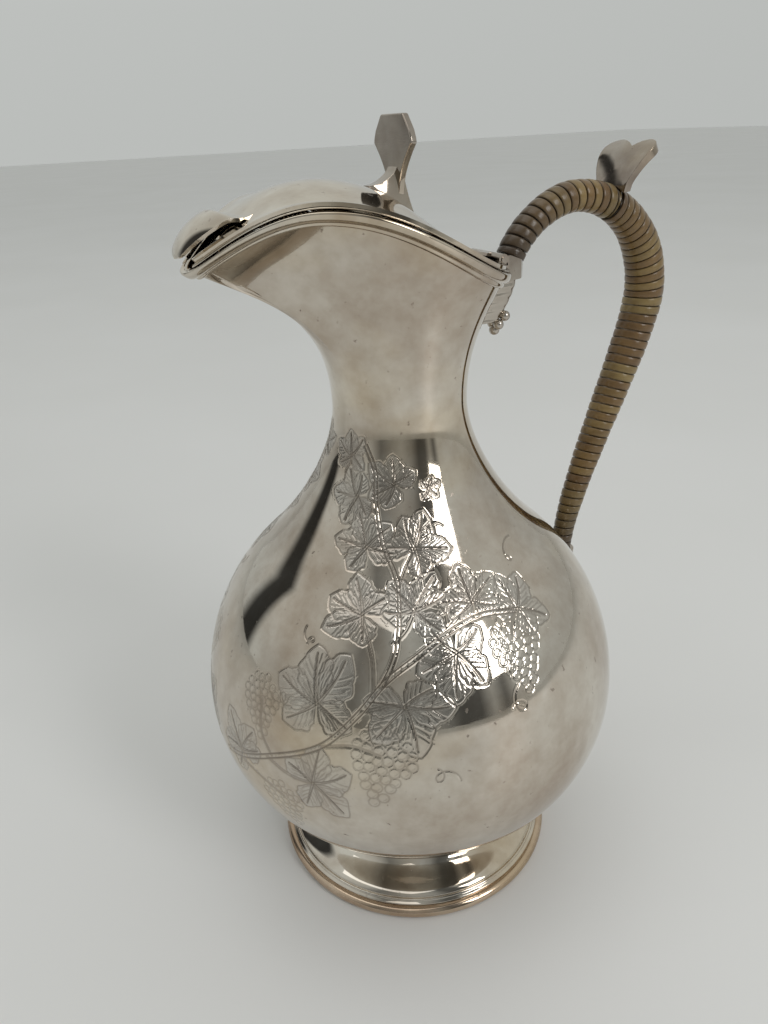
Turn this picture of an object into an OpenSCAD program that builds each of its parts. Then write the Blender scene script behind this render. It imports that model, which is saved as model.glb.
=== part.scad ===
// Silver-plated covered jug with a hinged lid, a cowled spout and a cane-wrapped handle.
// Millimetres. The origin is the centre of the foot on the table, +Z is up,
// -X is the spout side and +X is the handle side.

/* [Bulb] */
// Widest radius of the bulb
bulb_r = 75; // [72:0.5:78]
// Height of the widest circle above the table
bulb_z = 78; // [76:0.5:80]
// Height of the bulb's rounded underside below its widest circle
bulb_drop = 64; // [62:0.5:66]
// Thickness of the sheet metal of the body
wall = 1.2; // [0.8:0.1:1.6]

/* [Neck and mouth] */
// Radius of the neck at its narrowest
neck_r = 22; // [21:0.25:23]
// Height of the narrowest circle of the neck
neck_z = 184; // [182:0.5:186]
// Radius of the round rear part of the mouth
mouth_r = 34; // [33.5:0.25:34.25]
// Distance from the neck axis to the tip of the spout
spout_x = 63.5; // [62:0.5:65]
// Radius of the lip at the end of the spout
lip_r = 7.5; // [6.5:0.25:8]
// Height of the mouth's edge at its highest
rim_top_z = 245.3; // [243:0.1:247]
// Height of the mouth's edge at the hinge
rim_low_z = 222.4; // [221:0.1:224]

/* [Foot] */
// Radius of the foot at the table
foot_r = 54.5; // [53:0.5:56]
// Height of the foot's base wire
base_wire_h = 4.6; // [4:0.1:5]

/* [Lid] */
// Thickness of the lid's sheet metal
lid_t = 1.0; // [0.8:0.1:1.2]
// Air gap between the mouth's edge and the lid's edge wire
lid_gap = 0.5; // [0.4:0.05:0.7]
// Thickness of the lid's edge wire
edge_wire_h = 1.6; // [1.2:0.1:1.8]

/* [Hinge] */
// Distance from the neck axis to the hinge axis
hinge_x = 34.6; // [34.4:0.1:34.8]
// Height of the hinge axis
hinge_z = 224.4; // [224:0.1:225]
// Outer radius of the hinge knuckles
knuckle_r = 1.8; // [1.6:0.1:2]
// Radius of the hinge pin
pin_r = 0.9; // [0.8:0.05:1]
// Radial running clearance of the pin
pin_gap = 0.05; // [0.03:0.01:0.08]
// Length of the whole hinge barrel
hinge_w = 17; // [15:0.5:18]

/* [Handle] */
// Radius of the wrapped handle at the upper socket
grip_r_top = 4.8; // [4.5:0.1:5]
// Radius of the wrapped handle at its outer bend
grip_r_bend = 7.2; // [6.8:0.1:7.5]
// Radius of the wrapped handle at the lower socket
grip_r_low = 3.9; // [3.7:0.1:4.1]
// Thickness of the cane wrapping
cane_t = 1.2; // [1:0.1:1.4]

/* [Hidden] */

silver = [0.73, 0.70, 0.66];
silver_warm = [0.70, 0.63, 0.54];
cane_tan = [0.55, 0.43, 0.26];

// the spun bulb: a spherical upper part, then a hollow curve into the neck
round_end = 48;
join_r = bulb_r * cos(round_end);
join_z = bulb_z + bulb_r * sin(round_end);
throat = [[join_r, join_z],
    [join_r - 19 * sin(round_end), join_z + 19 * cos(round_end)],
    [neck_r, neck_z - 16], [neck_r, neck_z]];

// the mouth seen from above: a round rear, straight tapering sides, a round lip
mouth_cx = -0.5;
lip_cx = -(spout_x - lip_r);
taper = 37;
lip_start = [lip_cx - lip_r * sin(taper), lip_r * cos(taper)];
mouth_side = [[mouth_cx, mouth_r], [mouth_cx - 20, mouth_r],
    lip_start + 28 * [cos(taper), sin(taper)], lip_start];
rear_steps = 12;
side_steps = 16;
lip_steps = 8;
half_steps = rear_steps + side_steps + lip_steps;
all_steps = 2 * half_steps;

// the mouth's edge seen from the side: low at the hinge, high over the spout's root
rim_peak_x = -34;
rim_rear_x = 33;
rim_front_drop = 28;
rim_front_run = 60;

// rise of the wall where it meets the edge: steep at the rear and sides, shallow at the spout
rear_rise = 66;
spout_rise = 30;

// the lid's crown above its edge, along the middle line from spout to hinge
crown_h = 8.4;
crown_x = -5;
crown_front = 44;
crown_rear = 41;
flange_w = 3.2;
rail_w = [3.6, 1.7];
wire_top = lid_gap + edge_wire_h;

// the handle's middle line: three curves from the upper socket to the lower socket
grip_path = [
    [[43.5, 223.5], [48.5, 233], [60, 240], [70, 240]],
    [[70, 240], [89, 240], [106.3, 225], [106.3, 205]],
    [[106.3, 205], [106.3, 185], [72, 130], [74, 100]]];
rest_s = 1.29;
rest_gap = 0.012;

function bez(p, t) = pow(1 - t, 3) * p[0] + 3 * pow(1 - t, 2) * t * p[1]
    + 3 * (1 - t) * t * t * p[2] + pow(t, 3) * p[3];
function unit(v) = v / norm(v);
function mix(a, b, t) = a + (b - a) * t;
function clamp01(t) = max(0, min(1, t));
function ease(t) = (1 - cos(180 * clamp01(t))) / 2;

// outline of the mouth from above, step 0 at the hinge and step half_steps at the lip
function half_plan(i) = i <= rear_steps
    ? [mouth_cx + mouth_r * cos(90 * i / rear_steps), mouth_r * sin(90 * i / rear_steps)]
    : i <= rear_steps + side_steps
    ? bez(mouth_side, (i - rear_steps) / side_steps)
    : [lip_cx + lip_r * cos(mix(90 + taper, 180, (i - rear_steps - side_steps) / lip_steps)),
        lip_r * sin(mix(90 + taper, 180, (i - rear_steps - side_steps) / lip_steps))];
function plan(i) = i <= half_steps ? half_plan(i)
    : [half_plan(all_steps - i)[0], -half_plan(all_steps - i)[1]];
function plan_out(i) = let(a = plan((i + all_steps - 1) % all_steps), b = plan((i + 1) % all_steps))
    unit([b[1] - a[1], a[0] - b[0]]);
function rim_z(x) = x > rim_peak_x
    ? rim_top_z - (rim_top_z - rim_low_z) * ease((x - rim_peak_x) / (rim_rear_x - rim_peak_x))
    : rim_top_z - rim_front_drop * ease((rim_peak_x - x) / rim_front_run);
function toward_spout(i) = ease(((i > half_steps ? all_steps - i : i) / half_steps - 0.35) / 0.5);
function rise(i) = mix(rear_rise, spout_rise, toward_spout(i));

// a closed skin over a list of rings that all have the same number of points
module skin(rings, closed = false) {
    n = len(rings[0]);
    m = len(rings);
    last = closed ? m - 1 : m - 2;
    sides = [for (j = [0:last]) for (i = [0:n - 1])
        [j * n + i, j * n + (i + 1) % n, ((j + 1) % m) * n + (i + 1) % n, ((j + 1) % m) * n + i]];
    ends = closed ? [] : [[for (i = [n - 1:-1:0]) i], [for (i = [0:n - 1]) (m - 1) * n + i]];
    tri = [for (q = sides) each [[q[0], q[1], q[2]], [q[0], q[2], q[3]]]];
    polyhedron(points = [for (r = rings) each r], faces = concat(tri, ends));
}

// ---- body ----

function bulb_curve(inset) = concat(
    [for (a = [-78:6:-6]) [(bulb_r - inset) * cos(a), bulb_z + (bulb_drop - inset) * sin(a)]],
    [for (a = [0:6:round_end]) [(bulb_r - inset) * cos(a), bulb_z + (bulb_r - inset) * sin(a)]],
    [for (k = [1:8]) bez(throat, k / 8) - [inset, 0]]);

module body_bulb() {
    outer = bulb_curve(0);
    inner = bulb_curve(wall);
    color(silver) rotate_extrude($fn = 96)
        polygon(concat([[0, bulb_z - bulb_drop]], outer, [for (k = [len(inner) - 1:-1:0]) inner[k]],
            [[0, bulb_z - bulb_drop + wall]]));
}

function neck_turn(i) = let(p = plan(i), a = atan2(p[1], p[0]), b = 360 * i / all_steps)
    mix(a < 0 ? a + 360 : a, b, 0.5);
function wall_point(i, v, inset) = let(
    turn = neck_turn(i),
    from = [(neck_r - inset) * cos(turn), (neck_r - inset) * sin(turn), neck_z],
    to = [plan(i)[0] - inset * plan_out(i)[0], plan(i)[1] - inset * plan_out(i)[1],
        rim_z(plan(i)[0])],
    out = plan_out(i),
    span = norm(to - from),
    end = [cos(rise(i)) * out[0], cos(rise(i)) * out[1], sin(rise(i))])
    bez([from, from + [0, 0, mix(0.42, 0.5, toward_spout(i)) * span], to - 0.33 * span * end, to], v);
wall_steps = 12;

module neck_and_spout() {
    outer = [for (k = [0:wall_steps]) [for (i = [0:all_steps - 1]) wall_point(i, k / wall_steps, 0)]];
    inner = [for (k = [wall_steps:-1:0])
        [for (i = [0:all_steps - 1]) wall_point(i, k / wall_steps, wall)]];
    color(silver) skin(concat(outer, inner), closed = true);
}

// moulded wire around the mouth, drawn across the wall: [down the wall, out from the wall]
band_section = [[0, 0.06], [0, 1.2], [0.6, 1.7], [2.2, 1.7], [3.2, 1.0], [3.8, 0.9], [4.6, 0.5], [4.8, 0.06]];

// the wall's own facets, so that the wire lies flat on them
function wall_node(i, k) = wall_point(i, 1 - k / wall_steps, 0);
function down_wall(i, d) = let(a = wall_node(i, 0), b = wall_node(i, 1), c = wall_node(i, 2),
    first = norm(b - a))
    d < first ? mix(a, b, d / first) : mix(b, c, (d - first) / norm(c - b));
function band_ring(i) = let(
    out = plan_out(i),
    up = unit(wall_node(i, 0) - wall_node(i, 1)),
    away = unit([up[2] * out[0], up[2] * out[1], -(up[0] * out[0] + up[1] * out[1])]),
    lean = min(1, up[0] * out[0] + up[1] * out[1]))
    [for (q = band_section) down_wall(i, q[0]) + q[1] * away
        + max(0, 1 - q[0]) * q[1] * lean * up];

module mouth_band() {
    color(silver) skin([for (i = [0:all_steps - 1]) band_ring(i)], closed = true);
}

// ---- foot ----

module foot_skirt() {
    outside = [for (k = [0:8]) bez([[34, 20.8], [38, 12], [44, 9.5], [50.2, 6.4]], k / 8)];
    inside = [for (k = [8:-1:0]) outside[k] - [0.9, 1.1]];
    color(silver) rotate_extrude($fn = 96) polygon(concat(outside, inside));
}
module foot_step_wire() {
    color(silver) rotate_extrude($fn = 96)
        polygon([[49.3, base_wire_h + 0.02], [52, base_wire_h + 0.02], [52, 5.4], [51.2, 6.4], [50.3, 6.4],
            [49.3, 5.3]]);
}

module foot_base_wire() {
    half = base_wire_h / 2;
    color(silver_warm) rotate_extrude($fn = 96) union() {
        translate([foot_r - half, half]) circle(r = half, $fn = 32);
        translate([48.5, 0]) square([foot_r - half - 48.5, base_wire_h]);
    }
}

// ---- lid ----

// height of the crown: it falls gently to the spout and in a hollow sweep to the hinge
function hollow(t) = t * t / (t + 0.12);
function crown(x) = crown_h * (x > crown_x
    ? pow(1 - hollow(clamp01((x - crown_x) / crown_rear)), 1.5)
    : 1 - pow(clamp01((crown_x - x) / crown_front), 1.15));
function lid_z(x, y, w) = let(s = clamp01((w - flange_w - abs(y)) / max(1, w - flange_w)))
    rim_z(x) + wire_top + crown(x) * mix(ease(s), 1 - pow(1 - s, 2), 0.5);

// the lid is laid out in rows across it, from the hinge to the tips beside the spout;
// past the slot row each row has an open middle, which the hood covers
lid_cols = 12;
first_row = 2;
slot_row = 25;
last_row = half_steps - 5;
lid_rows = last_row - first_row;
open_rows = last_row - slot_row;
function opening(row) = row <= slot_row ? 0
    : plan(row)[1] - mix(rail_w[0], rail_w[1], (row - slot_row) / open_rows);
function row_point(row, side, k, drop) = let(x = plan(row)[0], w = plan(row)[1],
    y = mix(opening(row), w, sin(90 * k / lid_cols)))
    [x, side * y, lid_z(x, y, w) - drop];
row_size = 2 * (lid_cols + 1);
// index of a point: left columns count down to the middle, right columns count up from it
function lid_at(layer, row, side, k) = (layer * (lid_rows + 1) + row - first_row) * row_size
    + (side < 0 || (k == 0 && row <= slot_row) ? lid_cols - k : lid_cols + 1 + k);
function lid_quad(a, b, c, d, turn) = turn ? [[a, c, b], [a, d, c]] : [[a, b, c], [a, c, d]];

module lid_shell() {
    points = [for (layer = [0, 1]) for (row = [first_row:last_row]) each concat(
        [for (k = [lid_cols:-1:0]) row_point(row, -1, k, layer * lid_t)],
        [for (k = [0:lid_cols]) row_point(row, 1, k, layer * lid_t)])];
    faces = [for (side = [-1, 1]) each concat(
        [for (layer = [0, 1]) for (row = [first_row:last_row - 1]) for (k = [0:lid_cols - 1])
            each lid_quad(lid_at(layer, row, side, k), lid_at(layer, row, side, k + 1),
                lid_at(layer, row + 1, side, k + 1), lid_at(layer, row + 1, side, k),
                (side > 0) == (layer == 0))],
        [for (row = [first_row:last_row - 1])
            each lid_quad(lid_at(0, row, side, lid_cols), lid_at(1, row, side, lid_cols),
                lid_at(1, row + 1, side, lid_cols), lid_at(0, row + 1, side, lid_cols), side > 0)],
        [for (row = [slot_row:last_row - 1])
            each lid_quad(lid_at(0, row, side, 0), lid_at(1, row, side, 0),
                lid_at(1, row + 1, side, 0), lid_at(0, row + 1, side, 0), side < 0)],
        [for (end = [0, 1]) for (k = [0:lid_cols - 1]) let(row = end ? last_row : first_row)
            each lid_quad(lid_at(0, row, side, k), lid_at(1, row, side, k),
                lid_at(1, row, side, k + 1), lid_at(0, row, side, k + 1), (side > 0) == (end == 0))])];
    color(silver) polyhedron(points = points, faces = faces);
}

function wire_ring(i) = let(p = plan(i), out = plan_out(i), h = edge_wire_h - lid_t - 0.12)
    [for (q = [[-1.8, 0], [0.4, 0], [0.8, 0.2], [0.8, h - 0.15], [0.5, h], [-1.8, h]])
        [p[0] + q[0] * out[0], p[1] + q[0] * out[1],
         rim_z(p[0] + q[0] * out[0]) + lid_gap + q[1]]];

module lid_edge_wire() {
    color(silver) {
        skin([for (i = [first_row:last_row]) wire_ring(i)]);
        skin([for (i = [all_steps - last_row:all_steps - first_row]) wire_ring(i)]);
    }
}

// the hood over the spout, from the lid to its tip
hood_root_x = -45.8;
hood_tip_x = -66;
hood_steps = 14;
function hood_mid(t) = bez([[hood_root_x, 247.2], [-54, 248.2], [-63.5, 243.8], [hood_tip_x, 235.6]], t);
function hood_edge(t) = bez([[hood_root_x, 246.8], [-52.5, 244.6], [-62, 240.8], [hood_tip_x, 234.8]], t);
function hood_half(t) = 10 * pow(cos(90 * pow(t, 1.8)), 0.6) + 0.4;

function hood_section(t) = let(w = hood_half(t), top = hood_mid(t), low = hood_edge(t), n = 7)
    concat([for (k = [-n:n]) let(y = w * k / n) [top[0], y, mix(top[1], low[1], pow(abs(k) / n, 2))]],
        [for (k = [n:-1:-n]) let(y = w * k / n)
            [top[0], y, mix(top[1], low[1], pow(abs(k) / n, 2)) - lid_t]]);

module spout_hood() {
    color(silver) skin([for (k = [0:hood_steps]) hood_section(k / hood_steps)]);
}

// ---- thumbpiece ----

function mid_z(x) = lid_z(x, 0, 30);

module thumbpiece() {
    blade_t = 1.7;
    half = [[3.4, 249.4], [4, 251.5], [7.2, 254.5], [10.6, 259], [9.6, 262], [6, 266.6]];
    outline = concat(half, [for (k = [len(half) - 1:-1:0]) [-half[k][0], half[k][1]]]);
    toe = concat([for (x = [-8:2:6]) [x, mid_z(x) + 0.05]],
        [[5.4, mid_z(6) + 1], [3.6, 243], [2.6, 246], [2.3, 249.5], [0.6, 249.5], [-2, 248.6],
            [-5, 248.9], [-8, mid_z(-8) + 0.6]]);
    color(silver) union() {
        translate([0.6, 0, 0]) rotate([90, 0, 90]) linear_extrude(blade_t) polygon(outline);
        translate([0, 2.8, 0]) rotate([90, 0, 0]) linear_extrude(5.6) polygon(toe);
    }
}

// ---- hinge ----

module barrel(y0, y1, r) {
    translate([hinge_x, y0, hinge_z]) rotate([-90, 0, 0]) cylinder(r = r, h = y1 - y0, $fn = 48);
}
middle_w = 6;
knuckle_gap = 0.1;

module lid_hinge_leaf() {
    leaf_end = plan(first_row)[0] + 0.06;
    leaf_t = 0.7;
    top = hinge_z + knuckle_r - 0.1;
    leaf = concat([for (row = [6:-1:first_row]) [plan(row)[0], mid_z(plan(row)[0]) + 0.06]],
        [[leaf_end, top - leaf_t], [leaf_end, top], [25, mid_z(25) + 0.8]]);
    color(silver) difference() {
        union() {
            translate([0, 5, 0]) rotate([90, 0, 0]) linear_extrude(10) polygon(leaf);
            barrel(-middle_w / 2, middle_w / 2, knuckle_r);
            translate([leaf_end - 0.4, -middle_w / 2, top - leaf_t])
                cube([hinge_x - leaf_end + 0.4, middle_w, leaf_t]);
        }
        barrel(-middle_w, middle_w, pin_r + pin_gap);
    }
}

module body_hinge_knuckles() {
    inner = middle_w / 2 + knuckle_gap;
    color(silver) difference() {
        union() {
            barrel(inner, hinge_w / 2, knuckle_r);
            barrel(-hinge_w / 2, -inner, knuckle_r);
        }
        barrel(-hinge_w, hinge_w, pin_r);
    }
}

module hinge_pin() {
    color(silver) barrel(-hinge_w / 2 - 0.3, hinge_w / 2 + 0.3, pin_r);
}

// ---- handle ----

function grip_point(s) = let(k = min(2, floor(s))) bez(grip_path[k], s - k);
function grip_dir(s) = unit(grip_point(min(3, s + 0.01)) - grip_point(max(0, s - 0.01)));
function grip_r(s) = s < 1 ? mix(grip_r_top, grip_r_top + 0.5, s)
    : s < 2 ? mix(grip_r_top + 0.5, grip_r_bend, ease(s - 1))
    : mix(grip_r_bend, grip_r_low, ease((s - 2) * 0.9) / ease(0.9));
function grip_ring(s, r, sides) = let(p = grip_point(s), d = grip_dir(s))
    [for (k = [0:sides - 1]) let(a = 360 * k / sides)
        [p[0] + r * cos(a) * d[1], r * sin(a), p[1] - r * cos(a) * d[0]]];

module sleeve(s0, s1, steps) {
    outside = [for (k = [0:steps]) let(s = mix(s0, s1, k / steps)) grip_ring(s, grip_r(s), 20)];
    inside = [for (k = [steps:-1:0]) let(s = mix(s0, s1, k / steps))
        grip_ring(s, grip_r(s) - cane_t, 20)];
    skin(concat(outside, inside), closed = true);
}

module handle_core() {
    steps = 36;
    color(silver) skin([for (k = [0:steps]) let(s = 2.985 * k / steps)
        grip_ring(s, grip_r(s) - cane_t - 0.04, 20)]);
}

module cane_wrap_arch() {
    color(cane_tan) sleeve(0.012, rest_s - rest_gap, 14);
}

module cane_wrap_side() {
    color(cane_tan) sleeve(rest_s + rest_gap, 2.93, 22);
}

module upper_handle_socket() {
    front = hinge_x + knuckle_r + 0.1;
    shelf = hinge_z - knuckle_r - 0.1;
    side = [[front, shelf], [front, 225.4], [37.6, 225.4], [46.8, 222.2], [45.8, 217.4], [33.6, 217.4],
        [34.4, 218.4], [35.9, 219.4], [35.9, shelf]];
    top = [[32, -8.2], [37, -8.2], [43.5, -6.2], [46.6, -3], [46.6, 3], [43.5, 6.2], [37, 8.2], [32, 8.2]];
    start = grip_path[0][0];
    lean = atan2(grip_path[0][1][0] - start[0], grip_path[0][1][1] - start[1]);
    color(silver) difference() {
        intersection() {
            translate([0, 10, 0]) rotate([90, 0, 0]) linear_extrude(20) polygon(side);
            translate([0, 0, 210]) linear_extrude(20) polygon(top);
        }
        translate([start[0], 0, start[1]]) rotate([0, lean, 0]) translate([0, 0, -0.1])
            cylinder(r = grip_r_top - cane_t, h = 10, $fn = 48);
    }
}

// the cast drop below the socket: a bracket against the neck that ends in five beads
module handle_drop() {
    tail = [[31.5, 217.3], [45.4, 217.3], [44, 212], [42, 207], [39.6, 204], [36, 203.4], [27.2, 206],
        [28.6, 210], [30.2, 214]];
    bead_r = 1.8;
    color(silver) union() {
        translate([0, 3.6, 0]) rotate([90, 0, 0]) linear_extrude(7.2) polygon(tail);
        for (y = [-1.9, 1.9]) translate([40.6, y, 205]) sphere(r = bead_r, $fn = 32);
        for (y = [-1.7, 1.7]) translate([38.2, y, 202.4]) sphere(r = bead_r, $fn = 32);
        translate([37.8, 0, 200.4]) sphere(r = bead_r, $fn = 32);
    }
}

// a heart-shaped plate saddled on the winding, with a tang let in between its two runs
module thumb_rest() {
    half = [[0, -1], [5.6, -1], [6.5, 2.5], [8.8, 8], [10.8, 12.5], [11.5, 15.5], [10.6, 17.8], [8, 19], [5, 19],
        [2, 18], [0, 16.8]];
    outline = concat(half, [for (k = [len(half) - 2:-1:1]) [-half[k][0], half[k][1]]]);
    foot = grip_point(rest_s);
    before = grip_point(rest_s - 0.01);
    along = atan2(foot[0] - before[0], foot[1] - before[1]);
    r = grip_r(rest_s);
    lean = 38;
    plate_t = 3;
    tang_t = 0.9;
    color(silver) union() {
        difference() {
            translate([foot[0], 0, foot[1] + r + 0.4]) rotate([0, lean, 0]) rotate([90, 0, 90])
                linear_extrude(plate_t) polygon(outline);
            translate([foot[0], 0, foot[1]]) rotate([0, along, 0])
                cylinder(r = r + 0.06, h = 40, center = true, $fn = 64);
        }
        translate([foot[0], 0, foot[1]]) rotate([0, along, 0]) intersection() {
            difference() {
                cylinder(r = r + 0.9, h = tang_t, center = true, $fn = 64);
                cylinder(r = r - cane_t, h = 2 * tang_t, center = true, $fn = 64);
            }
            translate([-2 * r, -0.6 * r, -r]) cube([2 * r, 1.2 * r, 2 * r]);
        }
    }
}

module lower_handle_socket() {
    end = grip_point(3);
    color(silver) difference() {
        union() {
            translate([end[0], 0, end[1] - 3]) cylinder(r = 5.2, h = 8, $fn = 48);
            translate([end[0], 0, end[1] - 3]) sphere(r = 5.2, $fn = 48);
        }
        translate([end[0], 0, end[1] - 0.05]) cylinder(r = grip_r_low + 0.05, h = 20, $fn = 48);
        translate([0, 0, bulb_z]) sphere(r = bulb_r + 0.03, $fn = 96);
    }
}

body_bulb();
neck_and_spout();
mouth_band();
foot_skirt();
foot_step_wire();
foot_base_wire();
lid_shell();
lid_edge_wire();
spout_hood();
thumbpiece();
lid_hinge_leaf();
body_hinge_knuckles();
hinge_pin();
upper_handle_socket();
handle_drop();
handle_core();
cane_wrap_arch();
cane_wrap_side();
thumb_rest();
lower_handle_socket();
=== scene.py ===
"""Looks for the covered silver-plated jug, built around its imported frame.

Shapes are worked out in millimetres, like the design's own dimensions, and become metres where a mesh is
made. -X is the spout side, +X the handle side, +Z up, and the origin is the centre of the foot.
"""
import math

import bmesh
import bpy
import numpy as np
from mathutils import Matrix, Vector


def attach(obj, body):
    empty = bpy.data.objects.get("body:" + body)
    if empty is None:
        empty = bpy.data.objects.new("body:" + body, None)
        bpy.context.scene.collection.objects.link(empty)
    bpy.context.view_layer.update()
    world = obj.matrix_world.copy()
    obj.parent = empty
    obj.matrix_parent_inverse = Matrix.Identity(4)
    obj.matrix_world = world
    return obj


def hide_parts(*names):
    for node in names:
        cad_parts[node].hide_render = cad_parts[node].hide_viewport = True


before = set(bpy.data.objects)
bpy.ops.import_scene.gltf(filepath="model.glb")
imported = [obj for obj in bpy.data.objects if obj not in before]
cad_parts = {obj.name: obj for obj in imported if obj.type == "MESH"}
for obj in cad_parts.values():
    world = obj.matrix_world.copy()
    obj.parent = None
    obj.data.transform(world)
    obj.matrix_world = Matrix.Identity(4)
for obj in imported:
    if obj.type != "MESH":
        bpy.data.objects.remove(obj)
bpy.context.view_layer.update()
MM = 0.001

# ---- driving dimensions

BULB_R, BULB_Z, BULB_DROP, WALL = 75.0, 78.0, 64.0, 1.2
NECK_R, NECK_Z = 22.0, 184.0
ROUND_END = math.radians(48)
MOUTH_R, MOUTH_CX = 34.0, -0.5
SPOUT_X, LIP_R, TAPER = 63.5, 7.5, math.radians(37)
RIM_TOP, RIM_LOW, RIM_PEAK_X, RIM_REAR_X = 245.3, 222.4, -34.0, 33.0
RIM_DROP, RIM_RUN = 28.0, 60.0
REAR_RISE, SPOUT_RISE = 66.0, 30.0
LID_T, LID_GAP, EDGE_WIRE_H = 1.0, 0.5, 1.6
CROWN_H, CROWN_X, CROWN_FRONT, CROWN_REAR, FLANGE_W = 8.4, -5.0, 44.0, 41.0, 3.2
FIRST_ROW, SLOT_ROW, LAST_ROW = 2.0, 25.0, 31.0
FOOT_R, BASE_WIRE_H = 54.5, 4.6
GRIP_TOP, GRIP_BEND, GRIP_LOW, CANE_T = 4.8, 7.2, 3.9, 1.2
GRIP_PATH = (
    ((43.5, 223.5), (48.5, 233), (60, 240), (70, 240)),
    ((70, 240), (89, 240), (106.3, 225), (106.3, 205)),
    ((106.3, 205), (106.3, 185), (72, 130), (74, 100)),
)
REST_S, REST_GAP = 1.29, 0.012

# the mouth's outline counts 72 steps round: 12 a side at the rear, 16 along the side, 8 at the lip
ALL_STEPS, HALF_STEPS, REAR_STEPS, SIDE_STEPS, LIP_STEPS = 72, 36, 12, 16, 8
LIP_CX = -(SPOUT_X - LIP_R)


def mix(a, b, t):
    return a + (b - a) * t


def clamp01(t):
    return max(0.0, min(1.0, t))


def ease(t):
    return (1 - math.cos(math.pi * clamp01(t))) / 2


def bez(p, t):
    a, b, c, d = (np.asarray(q, float) for q in p)
    return (1 - t) ** 3 * a + 3 * (1 - t) ** 2 * t * b + 3 * (1 - t) * t * t * c + t**3 * d


def unit(v):
    v = np.asarray(v, float)
    return v / max(1e-12, np.linalg.norm(v))


# ---- shapes shared by the pieces

LIP_START = np.array([LIP_CX - LIP_R * math.sin(TAPER), LIP_R * math.cos(TAPER)])
MOUTH_SIDE = (
    (MOUTH_CX, MOUTH_R),
    (MOUTH_CX - 20, MOUTH_R),
    LIP_START + 28 * np.array([math.cos(TAPER), math.sin(TAPER)]),
    LIP_START,
)


def half_plan(i):
    """The mouth's outline from above on the +Y side, from the hinge at 0 to the lip at HALF_STEPS."""
    if i <= REAR_STEPS:
        a = math.pi / 2 * i / REAR_STEPS
        return np.array([MOUTH_CX + MOUTH_R * math.cos(a), MOUTH_R * math.sin(a)])
    if i <= REAR_STEPS + SIDE_STEPS:
        return bez(MOUTH_SIDE, (i - REAR_STEPS) / SIDE_STEPS)
    a = mix(math.pi / 2 + TAPER, math.pi, (i - REAR_STEPS - SIDE_STEPS) / LIP_STEPS)
    return np.array([LIP_CX + LIP_R * math.cos(a), LIP_R * math.sin(a)])


def plan(i):
    i %= ALL_STEPS
    return half_plan(i) if i <= HALF_STEPS else half_plan(ALL_STEPS - i) * (1, -1)


def plan_out(i):
    a, b = plan(i - 1), plan(i + 1)
    return unit([b[1] - a[1], a[0] - b[0]])


def rim_z(x):
    if x > RIM_PEAK_X:
        return RIM_TOP - (RIM_TOP - RIM_LOW) * ease((x - RIM_PEAK_X) / (RIM_REAR_X - RIM_PEAK_X))
    return RIM_TOP - RIM_DROP * ease((RIM_PEAK_X - x) / RIM_RUN)


def toward_spout(i):
    i %= ALL_STEPS
    return ease((min(i, ALL_STEPS - i) / HALF_STEPS - 0.35) / 0.5)


def neck_turn(i):
    i %= ALL_STEPS
    a = math.atan2(plan(i)[1], plan(i)[0]) % (2 * math.pi)
    return (a + 2 * math.pi * i / ALL_STEPS) / 2


def wall_point(i, v, inset=0.0):
    """A point of the neck and spout: v runs from the neck's narrowest circle to the mouth's edge."""
    p, out, turn = plan(i), plan_out(i), neck_turn(i)
    start = np.array([(NECK_R - inset) * math.cos(turn), (NECK_R - inset) * math.sin(turn), NECK_Z])
    end = np.array([p[0] - inset * out[0], p[1] - inset * out[1], rim_z(p[0])])
    span = np.linalg.norm(end - start)
    rise = math.radians(mix(REAR_RISE, SPOUT_RISE, toward_spout(i)))
    way = np.array([math.cos(rise) * out[0], math.cos(rise) * out[1], math.sin(rise)])
    lift = mix(0.42, 0.5, toward_spout(i)) * span
    return bez((start, start + (0, 0, lift), end - 0.33 * span * way, end), v)


def hollow(t):
    return t * t / (t + 0.12)


def crown(x):
    if x > CROWN_X:
        return CROWN_H * (1 - hollow(clamp01((x - CROWN_X) / CROWN_REAR))) ** 1.5
    return CROWN_H * (1 - clamp01((CROWN_X - x) / CROWN_FRONT) ** 1.15)


def lid_z(x, y, w):
    s = clamp01((w - FLANGE_W - abs(y)) / max(1.0, w - FLANGE_W))
    return rim_z(x) + LID_GAP + EDGE_WIRE_H + crown(x) * mix(ease(s), 1 - (1 - s) ** 2, 0.5)


def grip_point(s):
    k = min(2, int(s))
    x, z = bez(GRIP_PATH[k], s - k)
    return np.array([x, 0.0, z])


def grip_dir(s):
    return unit(grip_point(min(3, s + 0.01)) - grip_point(max(0, s - 0.01)))


def grip_r(s):
    if s < 1:
        return mix(GRIP_TOP, GRIP_TOP + 0.5, s)
    if s < 2:
        return mix(GRIP_TOP + 0.5, GRIP_BEND, ease(s - 1))
    return mix(GRIP_BEND, GRIP_LOW, ease((s - 2) * 0.9) / ease(0.9))


# ---- mesh helpers


def make_piece(name, verts, faces, material, body, nodes=(), outward=True):
    """A mesh piece in millimetres, put into the scene in metres, riding on its body."""
    mesh = bpy.data.meshes.new(name)
    mesh.from_pydata([tuple(float(c) * MM for c in v) for v in verts], [], [list(f) for f in faces])
    mesh.validate()
    mesh.update()
    mesh.polygons.foreach_set("use_smooth", [True] * len(mesh.polygons))
    mesh.materials.append(material)
    if outward:
        work = bmesh.new()
        work.from_mesh(mesh)
        bmesh.ops.recalc_face_normals(work, faces=work.faces)
        work.to_mesh(mesh)
        work.free()
    piece = bpy.data.objects.new(name, mesh)
    bpy.context.scene.collection.objects.link(piece)
    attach(piece, body)
    if nodes:
        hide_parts(*nodes)
    return piece


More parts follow.
